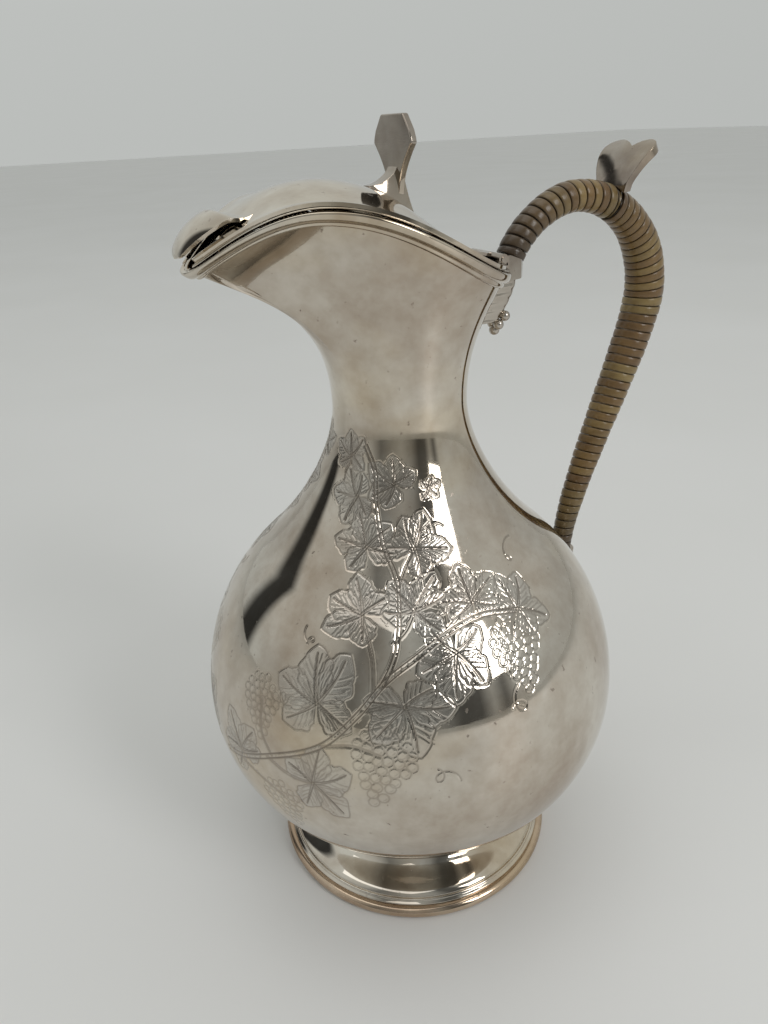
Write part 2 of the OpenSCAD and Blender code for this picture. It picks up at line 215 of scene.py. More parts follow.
def ring_faces(rows, cols, wrap_cols=True, wrap_rows=False):
    """Quads over a grid of points, row after row."""
    faces = []
    for r in range(rows if wrap_rows else rows - 1):
        for c in range(cols if wrap_cols else cols - 1):
            a, b = r * cols + c, r * cols + (c + 1) % cols
            d, e = ((r + 1) % rows) * cols + c, ((r + 1) % rows) * cols + (c + 1) % cols
            faces.append([a, b, e, d])
    return faces


def loft(rings, closed=False, caps=True):
    """Vertices and faces of a skin over rings with the same number of points."""
    n, m = len(rings[0]), len(rings)
    verts = [p for ring in rings for p in ring]
    faces = ring_faces(m, n, wrap_rows=closed)
    if caps and not closed:
        faces.append(list(range(n - 1, -1, -1)))
        faces.append([(m - 1) * n + k for k in range(n)])
    return verts, faces


def joined(parts):
    """Several (vertices, faces) pairs as one."""
    verts, faces = [], []
    for more_verts, more_faces in parts:
        faces += [[f + len(verts) for f in face] for face in more_faces]
        verts += more_verts
    return verts, faces


def write_marks(piece, labels, rows):
    """Stores one number a label on every vertex, for the materials to read."""
    for n, label in enumerate(labels):
        layer = piece.data.attributes.new(label, "FLOAT", "POINT")
        layer.data.foreach_set("value", [float(row[n]) for row in rows])


def revolve(profile, columns=192):
    """A closed profile of (radius, height) points turned round the Z axis."""
    rings = []
    for c in range(columns):
        a = 2 * math.pi * c / columns
        rings.append([(r * math.cos(a), r * math.sin(a), z) for r, z in profile])
    return loft(rings, closed=True)


def smooth_closed(points, steps=6, sharp=()):
    """A closed Catmull-Rom curve through the points; the ones in sharp stay corners."""
    pts = [np.asarray(p, float) for p in points]
    n, made = len(pts), []
    for k in range(n):
        a, b, c, d = pts[k - 1], pts[k], pts[(k + 1) % n], pts[(k + 2) % n]
        tb = (c - a) / 2 if k not in sharp else (c - b)
        tc = (d - b) / 2 if (k + 1) % n not in sharp else (c - b)
        for j in range(steps):
            made.append(bez((b, b + tb / 3, c - tc / 3, c), j / steps))
    return made


def bevel(piece, width, segments=3, angle=35):
    """Rounds the edges of a piece and keeps its flats shading flat."""
    mod = piece.modifiers.new("edge", "BEVEL")
    mod.width = width * MM
    mod.segments = segments
    mod.limit_method = "ANGLE"
    mod.angle_limit = math.radians(angle)
    mod.miter_outer = "MITER_ARC"
    mod.use_clamp_overlap = True
    piece.modifiers.new("normals", "WEIGHTED_NORMAL").keep_sharp = True
    return piece


def thicken(piece, thickness):
    mod = piece.modifiers.new("sheet", "SOLIDIFY")
    mod.thickness = thickness * MM
    mod.offset = -1
    mod.use_even_offset = True
    return piece


# ---- materials


def add_ramp(tree, source, stops):
    node = tree.nodes.new("ShaderNodeValToRGB")
    elements = node.color_ramp.elements
    while len(elements) < len(stops):
        elements.new(0.5)
    for element, (at, colour) in zip(elements, stops):
        element.position = at
        element.color = (*colour, 1) if not isinstance(colour, float) else (colour, colour, colour, 1)
    tree.links.new(source, node.inputs["Fac"])
    return node.outputs["Color"]


class Nodes:
    """A small helper for writing a material's node tree."""

    def __init__(self, name):
        self.material = bpy.data.materials.new(name)
        self.material.use_nodes = True
        self.tree = self.material.node_tree
        self.shader = self.tree.nodes["Principled BSDF"]
        self.place = self.add("ShaderNodeTexCoord").outputs["Object"]

    def add(self, kind, **values):
        node = self.tree.nodes.new(kind)
        for key, value in values.items():
            setattr(node, key, value)
        return node

    def link(self, source, target):
        self.tree.links.new(source, target)

    def scaled(self, scale):
        node = self.add("ShaderNodeMapping")
        node.inputs["Scale"].default_value = scale
        self.link(self.place, node.inputs["Vector"])
        return node.outputs["Vector"]

    def noise(self, scale, detail=3.0, rough=0.55, vector=None):
        node = self.add("ShaderNodeTexNoise")
        node.inputs["Scale"].default_value = scale
        node.inputs["Detail"].default_value = detail
        node.inputs["Roughness"].default_value = rough
        self.link(vector or self.place, node.inputs["Vector"])
        return node.outputs["Fac"]

    def ramp(self, source, stops):
        return add_ramp(self.tree, source, stops)

    def blend(self, factor, a, b, mode="MIX"):
        node = self.add("ShaderNodeMix", data_type="RGBA", blend_type=mode)
        for socket, value in ((0, factor), (6, a), (7, b)):
            if isinstance(value, bpy.types.NodeSocket):
                self.link(value, node.inputs[socket])
            else:
                node.inputs[socket].default_value = value if socket == 0 else (*value, 1)
        return node.outputs[2]

    def maths(self, operation, a, b=0.0, clamp=False):
        node = self.add("ShaderNodeMath", operation=operation, use_clamp=clamp)
        for k, value in enumerate((a, b)):
            if isinstance(value, bpy.types.NodeSocket):
                self.link(value, node.inputs[k])
            else:
                node.inputs[k].default_value = value
        return node.outputs[0]

    def bump(self, height, distance, strength=1.0):
        node = self.add("ShaderNodeBump")
        node.inputs["Distance"].default_value = distance
        node.inputs["Strength"].default_value = strength
        self.link(height, node.inputs["Height"])
        self.link(node.outputs["Normal"], self.shader.inputs["Normal"])


def silver(name, base, tarnish, patches, rough, haze, spots=0.5, cut=False):
    """Old plate: a hazy mirror with brownish tarnish, cloudy patches, spots and fine rubbing marks."""
    m = Nodes(name)
    cloud = m.ramp(m.noise(22, 5, 0.62), [(0.38, 0.0), (0.66, 1.0)])
    colour = m.blend(m.maths("MULTIPLY", cloud, patches), base, tarnish)
    gold = m.ramp(m.noise(13, 4, 0.5, m.scaled((1.0, 1.0, 1.5))), [(0.52, 0.0), (0.72, 1.0)])
    colour = m.blend(m.maths("MULTIPLY", gold, 0.5 * patches), colour, (0.70, 0.56, 0.34))
    mottle = m.ramp(m.noise(160, 4, 0.6), [(0.35, (0.90, 0.88, 0.86)), (0.6, (1.0, 1.0, 1.0))])
    colour = m.blend(1.0, colour, mottle, "MULTIPLY")
    speck = m.ramp(m.noise(420, 2, 0.5), [(0.24, 1.0), (0.30, 0.0)])
    colour = m.blend(m.maths("MULTIPLY", speck, spots), colour, (0.20, 0.15, 0.12))
    rub = m.noise(900, 2, 0.5, m.scaled((0.12, 0.12, 1.0)))
    roughness = m.maths("MULTIPLY", cloud, haze)
    roughness = m.maths("ADD", roughness, rough)
    roughness = m.maths("ADD", roughness, m.maths("MULTIPLY", m.maths("SUBTRACT", rub, 0.5), 0.10))
    roughness = m.maths("ADD", roughness, m.maths("MULTIPLY", speck, 0.25))
    if cut:
        frost = m.add("ShaderNodeAttribute", attribute_name="frost").outputs["Fac"]
        groove = m.add("ShaderNodeAttribute", attribute_name="groove").outputs["Fac"]
        colour = m.blend(m.maths("MULTIPLY", frost, 0.35), colour, (0.52, 0.51, 0.49))
        colour = m.blend(m.maths("MULTIPLY", groove, 0.80), colour, (0.15, 0.12, 0.095))
        roughness = m.maths("ADD", roughness, m.maths("MULTIPLY", frost, 0.16))
    m.link(colour, m.shader.inputs["Base Color"])
    m.link(m.maths("MAXIMUM", roughness, 0.04), m.shader.inputs["Roughness"])
    m.shader.inputs["Metallic"].default_value = 1.0
    dents = m.noise(34, 2, 0.4)
    fine = m.noise(1500, 2, 0.5, m.scaled((0.2, 0.2, 1.0)))
    height = m.maths("ADD", m.maths("MULTIPLY", dents, 1.0), m.maths("MULTIPLY", fine, 0.012))
    m.bump(height, 0.0004, 0.55)
    return m.material


def cane(name):
    """Varnished split cane: tan with olive and brown strips, lengthwise fibres, darker ends, and painted
    shade along the edges of each strip where the strips meet.
    """
    m = Nodes(name)
    strip = m.add("ShaderNodeAttribute", attribute_name="strip").outputs["Fac"]
    dark = m.add("ShaderNodeAttribute", attribute_name="dark").outputs["Fac"]
    across = m.add("ShaderNodeAttribute", attribute_name="across").outputs["Fac"]
    along = m.add("ShaderNodeAttribute", attribute_name="along").outputs["Fac"]
    browns = [(0.0, (0.190, 0.110, 0.036)), (0.5, (0.255, 0.165, 0.054)), (1.0, (0.285, 0.205, 0.075))]
    tone = m.ramp(strip, browns)
    stain = m.ramp(m.noise(70, 4, 0.6), [(0.35, (0.62, 0.56, 0.50)), (0.62, (1.0, 1.0, 1.0))])
    colour = m.blend(1.0, tone, stain, "MULTIPLY")
    lengthwise = m.add("ShaderNodeCombineXYZ")
    m.link(m.maths("MULTIPLY", across, 5.0), lengthwise.inputs["X"])
    m.link(m.maths("MULTIPLY", along, 0.22), lengthwise.inputs["Y"])
    fibre = m.noise(1.0, 3, 0.6, lengthwise.outputs["Vector"])
    grain = m.ramp(fibre, [(0.35, (0.78, 0.74, 0.70)), (0.6, (1.0, 1.0, 1.0))])
    colour = m.blend(0.8, colour, grain, "MULTIPLY")
    colour = m.blend(m.maths("MULTIPLY", dark, 0.9), colour, (0.035, 0.022, 0.012))
    # painted shade: the outer edges of each strip are blended to near black, standing in for the shadow in
    # the gaps between strips
    edge = m.maths("POWER", m.maths("ABSOLUTE", across), 9.0)
    colour = m.blend(m.maths("MULTIPLY", edge, 0.95), colour, (0.022, 0.014, 0.008))
    m.link(colour, m.shader.inputs["Base Color"])
    rough = m.maths("ADD", m.maths("MULTIPLY", m.noise(110, 3, 0.5), 0.25), 0.20)
    m.link(rough, m.shader.inputs["Roughness"])
    m.shader.inputs["Coat Weight"].default_value = 0.22
    m.shader.inputs["Coat Roughness"].default_value = 0.18
    m.bump(fibre, 0.00015, 0.5)
    return m.material


def table_top(name):
    m = Nodes(name)
    colour = m.ramp(m.noise(3, 3, 0.5), [(0.3, (0.745, 0.74, 0.725)), (0.7, (0.775, 0.77, 0.76))])
    m.link(colour, m.shader.inputs["Base Color"])
    m.shader.inputs["Roughness"].default_value = 0.45
    return m.material


PLATE = silver("silver_plate", (0.71, 0.665, 0.59), (0.44, 0.36, 0.285), 0.85, 0.025, 0.075)
CUT_PLATE = silver("engraved_plate", (0.71, 0.665, 0.59), (0.44, 0.36, 0.285), 0.85, 0.025, 0.075, cut=True)
WORN = silver("worn_plate", (0.64, 0.52, 0.40), (0.38, 0.25, 0.16), 0.9, 0.12, 0.14)
CAST = silver("cast_silver", (0.50, 0.455, 0.40), (0.24, 0.19, 0.155), 0.9, 0.07, 0.10)
CANE = cane("split_cane")
FLOOR = table_top("table_top")


# ---- engraving

# The vine as it lies on the side of the bulb. Places are (degrees round from the spout, height).
# Leaves: place, length of a lobe, turn. Bunches: place, width, turn.
LEAVES = (
    (20, 172, 7.5, 10), (55, 165, 9, 60), (31, 161, 9.5, 100), (42, 148, 11, 20), (65, 148, 11, -35),
    (45, 133, 12, 75), (63, 134, 12, -20), (84, 134, 11.5, 5), (99, 129, 11.5, -50), (74, 124, 13, 170),
    (36, 110, 16.5, 15), (59, 112, 14, 200), (12, 82, 13, 40), (36, 84, 14, -70), (77, 163, 4, -80),
)
BUNCHES = ((93, 118, 17, 0), (19, 101, 15, 10), (53, 92, 19, -10), (27, 67, 15, 15))
STEMS = (
    (1.5, ((3, 74), (12, 79), (24, 88), (38, 98), (47, 109), (54, 118), (63, 124), (74, 129), (86, 131),
           (98, 129))),
    (1.2, ((53, 117), (57, 126), (57, 140), (50, 149), (44, 160), (41, 169), (32, 176))),
    (0.8, ((51, 114), (50, 124), (45, 133))),
    (0.8, ((43, 103), (40, 107), (36, 110))),
    (0.8, ((48, 110), (54, 112), (59, 112))),
    (0.8, ((72, 129), (78, 132), (84, 134))),
    (0.8, ((57, 138), (60, 143), (65, 148))),
    (0.8, ((56, 127), (60, 130), (63, 134))),
    (0.7, ((44, 159), (50, 162), (55, 165))),
    (0.7, ((45, 157), (38, 159), (31, 161))),
    (0.8, ((22, 87), (29, 84), (36, 84))),
    (0.6, ((38, 98), (46, 100), (53, 98))),
    (0.6, ((24, 88), (20, 95), (19, 105))),
    (0.6, ((97, 129), (94, 126), (93, 124))),
    (0.6, ((10, 78), (20, 76), (27, 73))),
    (0.7, ((63, 124), (70, 122), (74, 124))),
)
# tendrils: place, size of the curl, turn, number of turns
TENDRILS = ((27, 107, 6, 200, 1.3), (87, 106, 9, 80, 1.1), (66, 93, 7, 0, 1.2), (106, 140, 8, 60, 0.9),
            (71, 153, 5, 30, 1.0), (30, 124, 5, 150, 1.1))

COLUMNS, ROWS, COARSE = 1440, 680, 5
THROAT_END = 19.0
GROOVE, VEIN = 0.17, 0.27


def bulb_profile():
    """Radius and height up the outside of the bulb, at even steps along the metal."""
    curve = []
    for a in np.radians(np.arange(-78, 0, 0.5)):
        curve.append((BULB_R * math.cos(a), BULB_Z + BULB_DROP * math.sin(a)))
    for a in np.radians(np.arange(0, 48, 0.5)):
        curve.append((BULB_R * math.cos(a), BULB_Z + BULB_R * math.sin(a)))
    join = np.array((BULB_R * math.cos(ROUND_END), BULB_Z + BULB_R * math.sin(ROUND_END)))
    pull = join + THROAT_END * np.array((-math.sin(ROUND_END), math.cos(ROUND_END)))
    for k in range(121):
        curve.append(bez((join, pull, (NECK_R, NECK_Z - 16), (NECK_R, NECK_Z)), k / 120))
    curve = np.array(curve)
    along = np.concatenate([[0], np.cumsum(np.linalg.norm(np.diff(curve, axis=0), axis=1))])
    even = np.linspace(0, along[-1], ROWS + 1)
    return np.stack([np.interp(even, along, curve[:, k]) for k in (0, 1)], 1), even


class Engraving:
    """Depth, groove and frosting over the fine lattice of the bulb."""

    def __init__(self):
        self.profile, self.along = bulb_profile()
        shape = (ROWS + 1, COLUMNS)
        self.height, self.groove, self.frost = np.zeros(shape), np.zeros(shape), np.zeros(shape)

    def row_at(self, z):
        """The lattice row nearest a height."""
        return int(np.argmin(np.abs(self.profile[:, 1] - z)))

    def window(self, place, reach):
        """The lattice near a place, as index arrays and local coordinates in millimetres."""
        turn, z = place
        row = self.row_at(z)
        radius = self.profile[row, 0]
        pitch = 2 * math.pi * radius / COLUMNS
        middle = (180 + turn) / 360 * COLUMNS
        across = int(reach / pitch) + 2
        up = int(reach / (self.along[1] - self.along[0])) + 2
        rows = np.arange(max(0, row - up), min(ROWS, row + up) + 1)
        cols = np.arange(int(middle) - across, int(middle) + across + 1)
        x = (cols - middle) * pitch
        y = self.along[rows] - self.along[row]
        return rows, cols % COLUMNS, *np.meshgrid(x, y)

    def cut(self, place, stroke, depth, width, view=None):
        """A groove along a stroke of local points, with a thin burr thrown up on both sides."""
        pts = np.asarray(stroke, float)
        reach = float(np.abs(pts).max()) + 2 * width
        rows, cols, x, y = view or self.window(place, reach)
        lo, hi = pts.min(0) - 2 * width, pts.max(0) + 2 * width
        rr = np.nonzero((y[:, 0] >= lo[1]) & (y[:, 0] <= hi[1]))[0]
        cc = np.nonzero((x[0] >= lo[0]) & (x[0] <= hi[0]))[0]
        if not len(rr) or not len(cc):
            return
        part = np.ix_(rr, cc)
        px, py = x[part], y[part]
        best = np.full(px.shape, 1e9)
        for a, b in zip(pts[:-1], pts[1:]):
            d = b - a
            t = np.clip(((px - a[0]) * d[0] + (py - a[1]) * d[1]) / max(1e-9, d @ d), 0, 1)
            best = np.minimum(best, np.hypot(px - a[0] - t * d[0], py - a[1] - t * d[1]))
        u = best / width
        inside = np.clip(1 - u * u, 0, 1) ** 1.5
        burr = np.clip(1 - ((u - 1.35) / 0.45) ** 2, 0, 1)
        where = np.ix_(rows[rr], cols[cc])
        self.height[where] = np.minimum(self.height[where], -depth * inside)
        self.height[where] = np.where(
            (self.height[where] >= 0) & (burr > 0), np.maximum(self.height[where], 0.28 * depth * burr),
            self.height[where])
        self.groove[where] = np.maximum(self.groove[where], inside * min(1, depth / VEIN))

    def mat(self, place, outline, amount, view):
        """Frosts the inside of a closed outline."""
        rows, cols, x, y = view
        inside = np.zeros(x.shape, bool)
        pts = np.asarray(outline, float)
        for a, b in zip(pts, np.roll(pts, -1, 0)):
            crosses = (a[1] > y) != (b[1] > y)
            at = (b[0] - a[0]) * (y - a[1]) / (b[1] - a[1] + 1e-12) + a[0]
            inside ^= crosses & (x < at)
        where = np.ix_(rows, cols)
        self.frost[where] = np.maximum(self.frost[where], inside * amount)


def turned(points, degrees, shift=(0, 0)):
    a = math.radians(degrees)
    c, s = math.cos(a), math.sin(a)
    return [(c * x - s * y + shift[0], s * x + c * y + shift[1]) for x, y in points]


def lobe_outline(length, width, bend, seed):
    """One lobe of a leaf, pointing up: a rounded fan with soft scallops round its outer end."""
    left, right = [], []
    for k in range(21):
        t = k / 20
        scallop = 1 + 0.2 * abs(math.sin(3.5 * math.pi * t + 0.4 * seed)) * ease(t / 0.4)
        half = width * math.sin(math.pi * t**1.05) ** 0.78 * scallop if 0 < t < 1 else 0.0
        mid = bend * length * t * t
        y = length * (0.04 + 0.96 * t)
        left.append((mid - half, y))
        right.append((mid + half, y))
    return left, right


def engrave_leaf(work, place, size, turn, number):
    """Five rounded lobes round the vein joint, each with a deep vein and long curved side veins."""
    size *= 1.12
    view = work.window(place, 1.35 * size)
    lobes = ((0, 1.0, 0.31), (58, 0.92, 0.29), (-60, 0.94, 0.30), (118, 0.74, 0.26), (-122, 0.76, 0.26))
    for k, (lean, long, wide) in enumerate(lobes):
        length = size * long * (1 + 0.06 * math.sin(2.3 * number + 1.7 * k))
        bend = 0.18 * math.sin(1.3 * number + 2.1 * k)
        left, right = lobe_outline(length, size * wide, bend, number + k)
        way = turn + lean + 6 * math.sin(number * 1.9 + k)
        work.mat(place, turned(left + right[::-1], way), 0.75 + 0.25 * math.sin(number + 2 * k), view)
        for side in (left, right):
            work.cut(place, turned(side, way), GROOVE, 0.40, view)
        spine = [(bend * length * (j / 8) ** 2, 0.86 * length * j / 8) for j in range(9)]
        for hand, depth in ((-0.42, VEIN), (0.42, 0.8 * VEIN)):
            edge = [(x + hand * (1 - y / length), y) for x, y in spine]
            work.cut(place, turned(edge, way), depth, 0.36, view)
        for j in range(4):
            t = 0.08 + 0.15 * j
            root = (bend * length * t * t, length * t)
            for hand in (-1, 1):
                out = size * wide * (0.74 - 0.09 * j)
                tip = (root[0] + hand * out, root[1] + length * 0.30)
                bow = (root[0] + hand * out * 0.45, root[1] + length * 0.11)
                far = (root[0] + hand * out * 0.80, root[1] + length * 0.21)
                work.cut(place, turned([root, bow, far, tip], way), 0.75 * GROOVE, 0.34, view)
        for j in range(6):
            t = 0.34 + 0.085 * j
            for hand in (-1, 1):
                x0 = bend * length * t * t + hand * size * wide * 0.62
                stroke = [(x0, length * t), (x0 + hand * 0.20 * size * wide, length * (t + 0.09))]
                work.cut(place, turned(stroke, way), 0.45 * GROOVE, 0.32, view)


def engrave_bunch(work, place, width, turn):
    """Round grapes in rows that narrow to a point, each with a shading stroke."""
    view = work.window(place, 1.1 * width)
    grape = width / 9.5
    rows = (3, 5, 6, 6, 5, 4, 3, 2, 1)
    for r, count in enumerate(rows):
        for k in range(count):
            x = (k - (count - 1) / 2) * 1.72 * grape + 0.25 * grape * math.sin(5 * k + 3 * r)
            y = (len(rows) / 2 - r) * 1.55 * grape + 0.2 * grape * math.sin(4 * k + r)
            round_line = [(x + grape * 0.86 * math.cos(a), y + grape * 0.86 * math.sin(a))
                          for a in np.radians(np.arange(0, 361, 36))]
            work.cut(place, turned(round_line, turn), 0.8 * GROOVE, 0.38, view)
            shade = [(x + grape * 0.45 * math.cos(a), y + grape * 0.45 * math.sin(a))
                     for a in np.radians((-80, -40, 0))]
            work.cut(place, turned(shade, turn), 0.5 * GROOVE, 0.32, view)


def engrave_stem(work, width, places):
    """Two edges of a branch with short bark strokes between them."""
    # the local frame is true only near its middle, so each stretch is cut from its own end
    for k in range(len(places) - 1):
        before = places[max(0, k - 1)]
        chain = [before, places[k], places[k + 1], places[min(len(places) - 1, k + 2)]]
        local = []
        base = places[k]
        base_row = work.row_at(base[1])
        for turn, z in chain:
            here = work.row_at(z)
            local.append((math.radians(turn - base[0]) * work.profile[base_row, 0],
                          work.along[here] - work.along[base_row]))
        a, b, c, d = (np.array(p) for p in local)
        ta, tb = (c - a) / 2, (d - b) / 2
        line = [bez((b, b + ta / 3, c - tb / 3, c), j / 10) for j in range(11)]
        view = work.window(base, float(np.linalg.norm(c - b)) + 4)
        for hand in (-0.5, 0.5):
            edge = []
            for j, p in enumerate(line):
                way = unit(line[min(10, j + 1)] - line[max(0, j - 1)])
                edge.append(p + hand * width * np.array((-way[1], way[0])))
            work.cut(base, edge, VEIN if width > 1 else GROOVE, 0.5, view)
        if width > 1:
            for j in range(1, 10, 2):
                way = unit(line[j + 1] - line[j - 1])
                side = np.array((-way[1], way[0])) * width * 0.3
                work.cut(base, [line[j] - side - way * 0.3, line[j] + side + way * 0.3],
                         0.6 * GROOVE, 0.34, view)


def engrave_tendril(work, place, size, turn, turns):
    line = []
    for k in range(33):
        t = k / 32
        a = 2 * math.pi * turns * t
        r = size * (0.12 + 0.4 * (1 - t))
        line.append((r * math.cos(a) + size * 0.5 * (1 - t), r * math.sin(a) - size * 0.6 * (1 - t)))
    work.cut(place, turned(line, turn), GROOVE, 0.42)


def engrave():
    work = Engraving()
    for number, (turn, z, size, lean) in enumerate(LEAVES):
        engrave_leaf(work, (turn, z), size, lean, number)
    for turn, z, width, lean in BUNCHES:
        engrave_bunch(work, (turn, z), width, lean)
    for width, places in STEMS:
        engrave_stem(work, width, places)
    for turn, z, size, lean, turns in TENDRILS:
        engrave_tendril(work, (turn, z), size, lean, turns)
    # the vine is repeated, mirrored, on the far side of the jug
    back = (-np.arange(COLUMNS)) % COLUMNS
    for field in ("height", "groove", "frost"):
        values = getattr(work, field)
        other = values[:, back]
        both = np.where(np.abs(other) > np.abs(values), other, values)
        both[-COARSE - 1:] = 0
        setattr(work, field, both)
    return work


# ---- body

NECK_ROWS, INNER_NECK_ROWS, INNER_BULB_STEP = 34, 14, 20


def body_skin():
    """Bulb, neck and spout as one raised skin with its engraving, and the inside of the sheet."""
    work = engrave()
    radius, z = work.profile[:, 0], work.profile[:, 1]
    angle = 2 * math.pi * np.arange(COLUMNS) / COLUMNS
    round_xy = np.stack([np.cos(angle), np.sin(angle)], 1)
    slope = np.gradient(work.profile, axis=0)
    slope /= np.linalg.norm(slope, axis=1)[:, None]
    base = np.empty((ROWS + 1, COLUMNS, 3))
    base[..., :2] = radius[:, None, None] * round_xy[None]
    base[..., 2] = z[:, None]
    away = np.empty_like(base)
    away[..., :2] = slope[:, 1][:, None, None] * round_xy[None]
    away[..., 2] = -slope[:, 0][:, None]
    skin = base + away * work.height[..., None]
    around = np.roll(skin, -1, 1) - np.roll(skin, 1, 1)
    up = np.gradient(skin, axis=0)
    normal = np.cross(around, up)
    normal /= np.linalg.norm(normal, axis=2)[..., None]
    normal[-1, :, :2], normal[-1, :, 2] = round_xy, 0

    cells_r, cells_c = ROWS // COARSE, COLUMNS // COARSE
    busy = (np.abs(work.height) > 0.004) | (work.frost > 0.05)
    fine = np.zeros((cells_r, cells_c), bool)
    for r in range(cells_r):
        rows = busy[r * COARSE:(r + 1) * COARSE + 1].any(0)
        grouped = rows.reshape(cells_c, COARSE).any(1)
        fine[r] = grouped | np.roll(rows.reshape(cells_c, COARSE)[:, 0], -1)
    index = np.full((ROWS + 1, COLUMNS), -1)
    verts, normals, marks, faces = [], [], [], []

    def at(r, c):
        c %= COLUMNS
        if index[r, c] < 0:
            index[r, c] = len(verts)
            verts.append(skin[r, c])
            normals.append(normal[r, c])
            marks.append((work.groove[r, c], work.frost[r, c]))
        return int(index[r, c])

    for r in range(cells_r):
        for c in range(cells_c):
            r0, c0 = r * COARSE, c * COARSE
            if fine[r, c]:
                for j in range(COARSE):
                    for k in range(COARSE):
                        faces.append([at(r0 + j, c0 + k), at(r0 + j, c0 + k + 1),
                                      at(r0 + j + 1, c0 + k + 1), at(r0 + j + 1, c0 + k)])
                continue
            loop = [at(r0, c0)]
            if r > 0 and fine[r - 1, c]:
                loop += [at(r0, c0 + k) for k in range(1, COARSE)]
            loop.append(at(r0, c0 + COARSE))
            if fine[r, (c + 1) % cells_c]:
                loop += [at(r0 + k, c0 + COARSE) for k in range(1, COARSE)]
            loop.append(at(r0 + COARSE, c0 + COARSE))
            if r + 1 < cells_r and fine[r + 1, c]:
                loop += [at(r0 + COARSE, c0 + COARSE - k) for k in range(1, COARSE)]
            loop.append(at(r0 + COARSE, c0))
            if fine[r, c - 1]:
                loop += [at(r0 + COARSE - k, c0) for k in range(1, COARSE)]
            faces.append(loop)

    # the neck's columns start where the bulb's end, so each finds its own step round the mouth
    steps = np.linspace(0, ALL_STEPS, 1441)
    turns = np.array([neck_turn(s) for s in steps[:-1]] + [2 * math.pi])
    column_step = np.interp(2 * math.pi * np.arange(cells_c) / cells_c, turns, steps)
    previous = [at(ROWS, c * COARSE) for c in range(cells_c)]

    def add_ring(ring, last):
        ids = []
        for p in ring:
            ids.append(len(verts))
            verts.append(p)
            normals.append((0, 0, 0))
            marks.append((0, 0))
        for c in range(cells_c):
            n = (c + 1) % cells_c
            faces.append([last[c], last[n], ids[n], ids[c]])
        return ids

    for k in range(1, NECK_ROWS + 1):
        previous = add_ring([wall_point(s, k / NECK_ROWS) for s in column_step], previous)
    for k in range(INNER_NECK_ROWS + 1):
        previous = add_ring([wall_point(s, 1 - k / INNER_NECK_ROWS, WALL) for s in column_step], previous)
    for row in range(ROWS - INNER_BULB_STEP, -1, -INNER_BULB_STEP):
        inner = work.profile[row] - WALL * np.array((slope[row, 1], -slope[row, 0]))
        ring = [(inner[0] * x, inner[0] * y, inner[1]) for x, y in round_xy[::COARSE]]
        previous = add_ring(ring, previous)
    faces.append(previous)
    faces.append([at(0, c * COARSE) for c in range(cells_c)][::-1])
    piece = make_piece("body_skin", verts, faces, CUT_PLATE, "jug",
                       ("body_bulb", "neck_and_spout"), outward=False)
    write_marks(piece, ("groove", "frost"), marks)
    piece.data.normals_split_custom_set_from_vertices([tuple(map(float, n)) for n in normals])
    return piece


def wall_frame(i, d):
    """A point d millimetres down the wall from the mouth's edge, with the wall's own up and out."""
    span = np.linalg.norm(wall_point(i, 1) - wall_point(i, 0.9)) / 0.1
    v = 1 - d / span
    up = unit(wall_point(i, v) - wall_point(i, v - 0.02))
    out = plan_out(i)
    away = unit((up[2] * out[0], up[2] * out[1], -(up[0] * out[0] + up[1] * out[1])))
    return wall_point(i, v), up, away


def mouth_band_skin():
    """The moulded wire soldered round the mouth: a fat bead, a quirk and a thin lower bead."""
    section = ((0.0, 0.0), (0.0, 0.9), (0.12, 1.25), (0.45, 1.6), (1.0, 1.78), (1.7, 1.75), (2.3, 1.5),
               (2.7, 1.05), (2.95, 0.8), (3.2, 0.78), (3.5, 0.95), (3.85, 1.0), (4.2, 0.85),
               (4.5, 0.5), (4.7, 0.0))
    rings = []
    for k in range(288):
        i = k * ALL_STEPS / 288
        _, top_up, _ = wall_frame(i, 0.0)
        lean = math.hypot(top_up[0], top_up[1])
        ring = []
        for d, out in section:
            p, up, away = wall_frame(i, d)
            ring.append(p + out * away + max(0, 1 - d) * out * lean * up)
        rings.append(ring)
    verts, faces = loft(rings, closed=True)
    return make_piece("mouth_band_skin", verts, faces, PLATE, "jug", ("mouth_band",))


# ---- foot


def curve_points(p, steps):
    return [tuple(bez(p, k / steps)) for k in range(steps + 1)]


def foot_skirt_skin():
    """The spun skirt: a waist under the bulb, a hollow sweep out and a rolled ledge."""
    outside = curve_points(((34.2, 20.8), (38, 12.2), (43.5, 10.6), (47.5, 8.6)), 16)
    outside += curve_points(((47.5, 8.6), (49.2, 7.8), (49.9, 7.3), (50.2, 6.4)), 6)[1:]
    inside = [(r - 0.9, z - 0.9) for r, z in outside[::-1]]
    verts, faces = revolve(outside + inside)
    return make_piece("foot_skirt_skin", verts, faces, PLATE, "jug", ("foot_skirt",))


def foot_step_skin():
    """The small quirked step between the skirt and the base wire."""
    profile = [(49.3, BASE_WIRE_H), (51.9, BASE_WIRE_H), (52.0, 5.0), (51.8, 5.3), (51.1, 5.45), (50.9, 5.8),
               (50.8, 6.2), (50.4, 6.4), (49.4, 6.3)]
    verts, faces = revolve(profile)
    return make_piece("foot_step_skin", verts, faces, PLATE, "jug", ("foot_step_wire",))


def foot_base_skin():
    """The heavy half-round base wire, worn through to a coppery colour."""
    half = BASE_WIRE_H / 2
    profile = [(FOOT_R - half + half * math.cos(a), half + half * math.sin(a))
               for a in np.radians(np.arange(-90, 91, 12))]
    profile += [(49.2, BASE_WIRE_H), (48.6, BASE_WIRE_H - 0.4), (48.6, 0.4), (49.2, 0.0)]
    verts, faces = revolve(profile)
    return make_piece("foot_base_skin", verts, faces, WORN, "jug", ("foot_base_wire",))


# ---- lid

LID_COLUMNS, HOOD_STEPS, HOOD_HALF_COLUMNS = 26, 28, 14
RAIL_W, RAIL_ROOT = (3.6, 1.7), 1.2
LID_EDGE_R, HOOD_EDGE_R = 0.28, 0.25
HOOD_ROOT_X, HOOD_TIP_X = -45.8, -66.0


